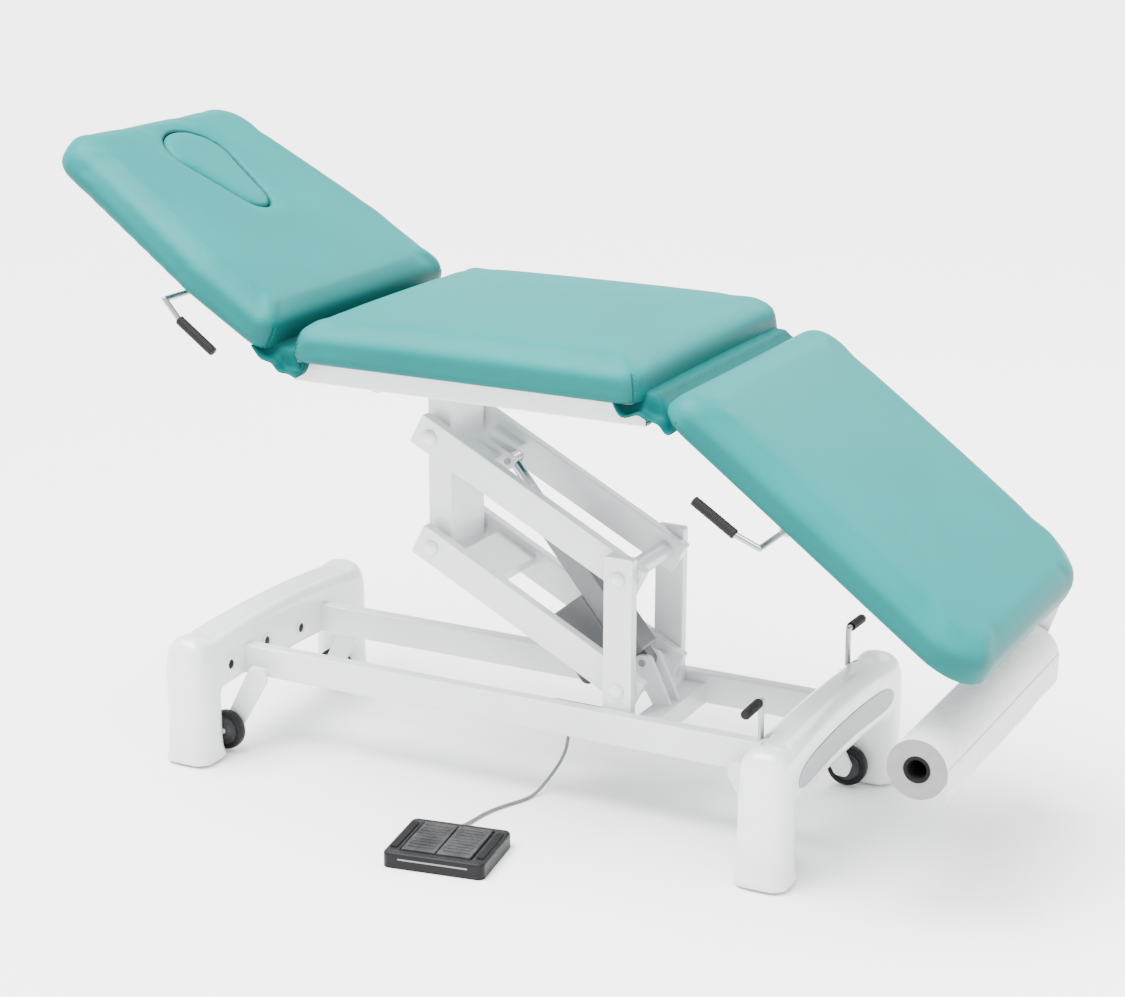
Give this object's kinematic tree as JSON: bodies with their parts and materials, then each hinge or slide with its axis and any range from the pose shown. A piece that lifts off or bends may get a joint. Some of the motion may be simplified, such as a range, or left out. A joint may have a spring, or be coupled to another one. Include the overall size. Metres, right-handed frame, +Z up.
{
  "type": "medical exam table",
  "caption": "Height-adjustable exam table: padded head, seat and leg sections on a parallelogram lift, arched end covers, paper roll, foot switch and retracting casters.",
  "frame": {"origin": "on the floor, under the middle of the table's overall length and width", "axes": "+X towards the foot end, +Y towards the far long side, +Z up"},
  "size_m": [1.7713, 0.809, 1.1435],
  "materials": {
    "vinyl": "satin",
    "board": "matte",
    "white_paint": "gloss",
    "white_shell": "gloss",
    "grey_trim": "satin",
    "steel": "satin",
    "chrome": "polished",
    "aluminium": "satin",
    "black_plastic": "matte",
    "rubber": "matte",
    "wheel": "satin",
    "paper": "matte",
    "cable": "satin",
    "motor_shell": "satin"
  },
  "bodies": {
    "base": {"rail_near": "white_paint", "rail_far": "white_paint", "end_frames": "white_paint", "foot_pads": "rubber", "cover_head_end": "white_shell", "cover_foot_end": "white_shell", "cover_insets": "grey_trim", "base_posts": "white_paint", "lift_crossbeam": "white_paint", "base_pivot_bolts": "chrome", "control_box": "black_plastic", "cable_gland": "black_plastic", "foot_cable": "cable", "foot_switch_body": "black_plastic", "foot_switch_strips": "rubber"},
    "foot_pad_up": {"foot_pad_up": "grey_trim"},
    "foot_pad_down": {"foot_pad_down": "grey_trim"},
    "caster_lever_near": {"caster_lever_near": "steel"},
    "caster_lever_far": {"caster_lever_far": "steel"},
    "upper_arms": {"upper_arms": "white_paint", "upper_arm_cross": "white_paint", "actuator_upper_pin": "chrome"},
    "lower_arms": {"lower_arms": "white_paint", "lower_arm_cross": "white_paint"},
    "actuator_body": {"actuator_housing": "aluminium", "actuator_motor": "motor_shell"},
    "actuator_rod": {"actuator_rod": "chrome"},
    "carriage": {"lift_post": "white_paint", "carriage_bolts": "chrome", "pivot_bushes": "black_plastic", "seat_frame": "white_paint", "hinge_pins": "chrome", "seat_board": "board", "seat_pad": "vinyl"},
    "head_section": {"head_frame": "white_paint", "head_board": "board", "head_pad": "vinyl", "gap_cover_head": "vinyl"},
    "face_plug": {"face_plug": "vinyl"},
    "head_lever": {"head_lever": "steel"},
    "head_spring_tube": {"head_spring_tube": "steel"},
    "head_spring_rod": {"head_spring_rod": "chrome"},
    "leg_section": {"leg_frame": "white_paint", "leg_board": "board", "leg_pad": "vinyl", "gap_cover_leg": "vinyl", "roll_holder": "white_paint"},
    "leg_lever": {"leg_lever": "steel"},
    "leg_spring_tube": {"leg_spring_tube": "steel"},
    "leg_spring_rod": {"leg_spring_rod": "chrome"},
    "paper_roll": {"paper_roll": "paper", "paper_tail": "paper"},
    "caster_arm_near_head": {"caster_arm_near_head": "steel"},
    "caster_wheel_near_head": {"caster_wheel_near_head": "wheel"},
    "caster_arm_near_foot": {"caster_arm_near_foot": "steel"},
    "caster_wheel_near_foot": {"caster_wheel_near_foot": "wheel"},
    "caster_arm_far_head": {"caster_arm_far_head": "steel"},
    "caster_wheel_far_head": {"caster_wheel_far_head": "wheel"},
    "caster_arm_far_foot": {"caster_arm_far_foot": "steel"},
    "caster_wheel_far_foot": {"caster_wheel_far_foot": "wheel"}
  },
  "joints": [
    {"name": "lift", "type": "hinge", "parent": "base", "child": "upper_arms", "pos_m": [0.175, 0, 0.4345], "axis": [0, 1, 0], "range_deg": [-30, 8]},
    {"name": "lower_arm_swing", "type": "hinge", "parent": "base", "child": "lower_arms", "pos_m": [0.175, 0, 0.23], "axis": [0, 1, 0], "range_deg": [-30, 8]},
    {"name": "carriage_level", "type": "hinge", "parent": "upper_arms", "child": "carriage", "pos_m": [-0.20641, 0, 0.63305], "axis": [0, 1, 0], "range_deg": [-8, 30]},
    {"name": "actuator_swing", "type": "hinge", "parent": "base", "child": "actuator_body", "pos_m": [0.18, 0, 0.253], "axis": [0, 1, 0], "range_deg": [-21, 6]},
    {"name": "actuator_rod_swing", "type": "hinge", "parent": "upper_arms", "child": "actuator_rod", "pos_m": [-0.09088, 0, 0.58644], "axis": [0, 1, 0], "range_deg": [-3, 9.6]},
    {"name": "head_tilt", "type": "hinge", "parent": "carriage", "child": "head_section", "pos_m": [-0.392, 0, 0.79], "axis": [0, 1, 0], "range_deg": [-46.2, 13.8], "deforming": ["gap_cover_head"]},
    {"name": "head_spring_swing", "type": "hinge", "parent": "carriage", "child": "head_spring_tube", "pos_m": [-0.362, 0, 0.692], "axis": [0, 1, 0], "range_deg": [-36, 18]},
    {"name": "head_spring_rod_swing", "type": "hinge", "parent": "head_section", "child": "head_spring_rod", "pos_m": [-0.59288, 0, 0.9023], "axis": [0, 1, 0], "range_deg": [-6, 12]},
    {"name": "head_release", "type": "hinge", "parent": "head_section", "child": "head_lever", "pos_m": [-0.59689, -0.326, 0.88603], "axis": [0, -1, 0], "range_deg": [0, 12], "stiffness_Nm_per_rad": 2, "springref_deg": -22.92},
    {"name": "face_plug_lift", "type": "slide", "parent": "head_section", "child": "face_plug", "axis": [0.518, 0, 0.8554], "range_m": [0, 0.08]},
    {"name": "leg_tilt", "type": "hinge", "parent": "carriage", "child": "leg_section", "pos_m": [0.309, 0, 0.79], "axis": [0, 1, 0], "range_deg": [-36.5, 13.5], "deforming": ["gap_cover_leg"]},
    {"name": "leg_spring_swing", "type": "hinge", "parent": "carriage", "child": "leg_spring_tube", "pos_m": [0.183, 0.165, 0.68], "axis": [0, 1, 0], "range_deg": [-23, 9]},
    {"name": "leg_spring_rod_swing", "type": "hinge", "parent": "leg_section", "child": "leg_spring_rod", "pos_m": [0.48913, 0.165, 0.64676], "axis": [0, 1, 0], "range_deg": [-6, 15]},
    {"name": "leg_release", "type": "hinge", "parent": "leg_section", "child": "leg_lever", "pos_m": [0.52162, -0.326, 0.60157], "axis": [0, 1, 0], "range_deg": [0, 12], "stiffness_Nm_per_rad": 2, "springref_deg": -22.92},
    {"name": "roll_spin", "type": "hinge", "parent": "leg_section", "child": "paper_roll", "pos_m": [0.78625, 0, 0.27327], "axis": [0, 1, 0], "continuous": true},
    {"name": "switch_up", "type": "hinge", "parent": "base", "child": "foot_pad_up", "pos_m": [-0.00742, -0.3547, 0.026], "axis": [0.9863, 0.165, 0], "range_deg": [0, 3], "stiffness_Nm_per_rad": 3, "springref_deg": -6.88},
    {"name": "switch_down", "type": "hinge", "parent": "base", "child": "foot_pad_down", "pos_m": [-0.00742, -0.3547, 0.026], "axis": [0.9863, 0.165, 0], "range_deg": [0, 3], "stiffness_Nm_per_rad": 3, "springref_deg": -6.88},
    {"name": "caster_step_near", "type": "hinge", "parent": "base", "child": "caster_lever_near", "pos_m": [0.49, -0.2, 0.203], "axis": [0, -1, 0], "range_deg": [0, 60]},
    {"name": "caster_step_far", "type": "hinge", "parent": "base", "child": "caster_lever_far", "pos_m": [0.49, 0.2, 0.203], "axis": [0, -1, 0], "range_deg": [0, 60]},
    {"name": "caster_swing_near_head", "type": "hinge", "parent": "base", "child": "caster_arm_near_head", "pos_m": [-0.5355, -0.17, 0.152], "axis": [0, -1, 0], "range_deg": [0, 4.4]},
    {"name": "caster_roll_near_head", "type": "hinge", "parent": "caster_arm_near_head", "child": "caster_wheel_near_head", "pos_m": [-0.5975, -0.19, 0.042], "axis": [0, 1, 0], "continuous": true},
    {"name": "caster_swing_near_foot", "type": "hinge", "parent": "base", "child": "caster_arm_near_foot", "pos_m": [0.4305, -0.17, 0.152], "axis": [0, 1, 0], "range_deg": [0, 4.4]},
    {"name": "caster_roll_near_foot", "type": "hinge", "parent": "caster_arm_near_foot", "child": "caster_wheel_near_foot", "pos_m": [0.4925, -0.19, 0.042], "axis": [0, 1, 0], "continuous": true},
    {"name": "caster_swing_far_head", "type": "hinge", "parent": "base", "child": "caster_arm_far_head", "pos_m": [-0.5355, 0.17, 0.152], "axis": [0, -1, 0], "range_deg": [0, 4.4]},
    {"name": "caster_roll_far_head", "type": "hinge", "parent": "caster_arm_far_head", "child": "caster_wheel_far_head", "pos_m": [-0.5975, 0.19, 0.042], "axis": [0, 1, 0], "continuous": true},
    {"name": "caster_swing_far_foot", "type": "hinge", "parent": "base", "child": "caster_arm_far_foot", "pos_m": [0.4305, 0.17, 0.152], "axis": [0, 1, 0], "range_deg": [0, 4.4]},
    {"name": "caster_roll_far_foot", "type": "hinge", "parent": "caster_arm_far_foot", "child": "caster_wheel_far_foot", "pos_m": [0.4925, 0.19, 0.042], "axis": [0, 1, 0], "continuous": true}
  ],
  "couplings": [
    {"joint": "lower_arm_swing", "follows": "lift", "ratio": 1},
    {"joint": "carriage_level", "follows": "lift", "ratio": -1},
    {"joint": "actuator_swing", "follows": "lift", "ratio": 0.69},
    {"joint": "actuator_rod_swing", "follows": "lift", "ratio": -0.31},
    {"joint": "head_spring_swing", "follows": "head_tilt", "ratio": 0.75},
    {"joint": "head_spring_rod_swing", "follows": "head_tilt", "ratio": -0.25},
    {"joint": "leg_spring_swing", "follows": "leg_tilt", "ratio": 0.615},
    {"joint": "leg_spring_rod_swing", "follows": "leg_tilt", "ratio": -0.385},
    {"joint": "caster_swing_near_head", "follows": "caster_step_near", "ratio": 0.073333},
    {"joint": "caster_swing_near_foot", "follows": "caster_step_near", "ratio": 0.073333},
    {"joint": "caster_swing_far_head", "follows": "caster_step_far", "ratio": 0.073333},
    {"joint": "caster_swing_far_foot", "follows": "caster_step_far", "ratio": 0.073333}
  ]
}
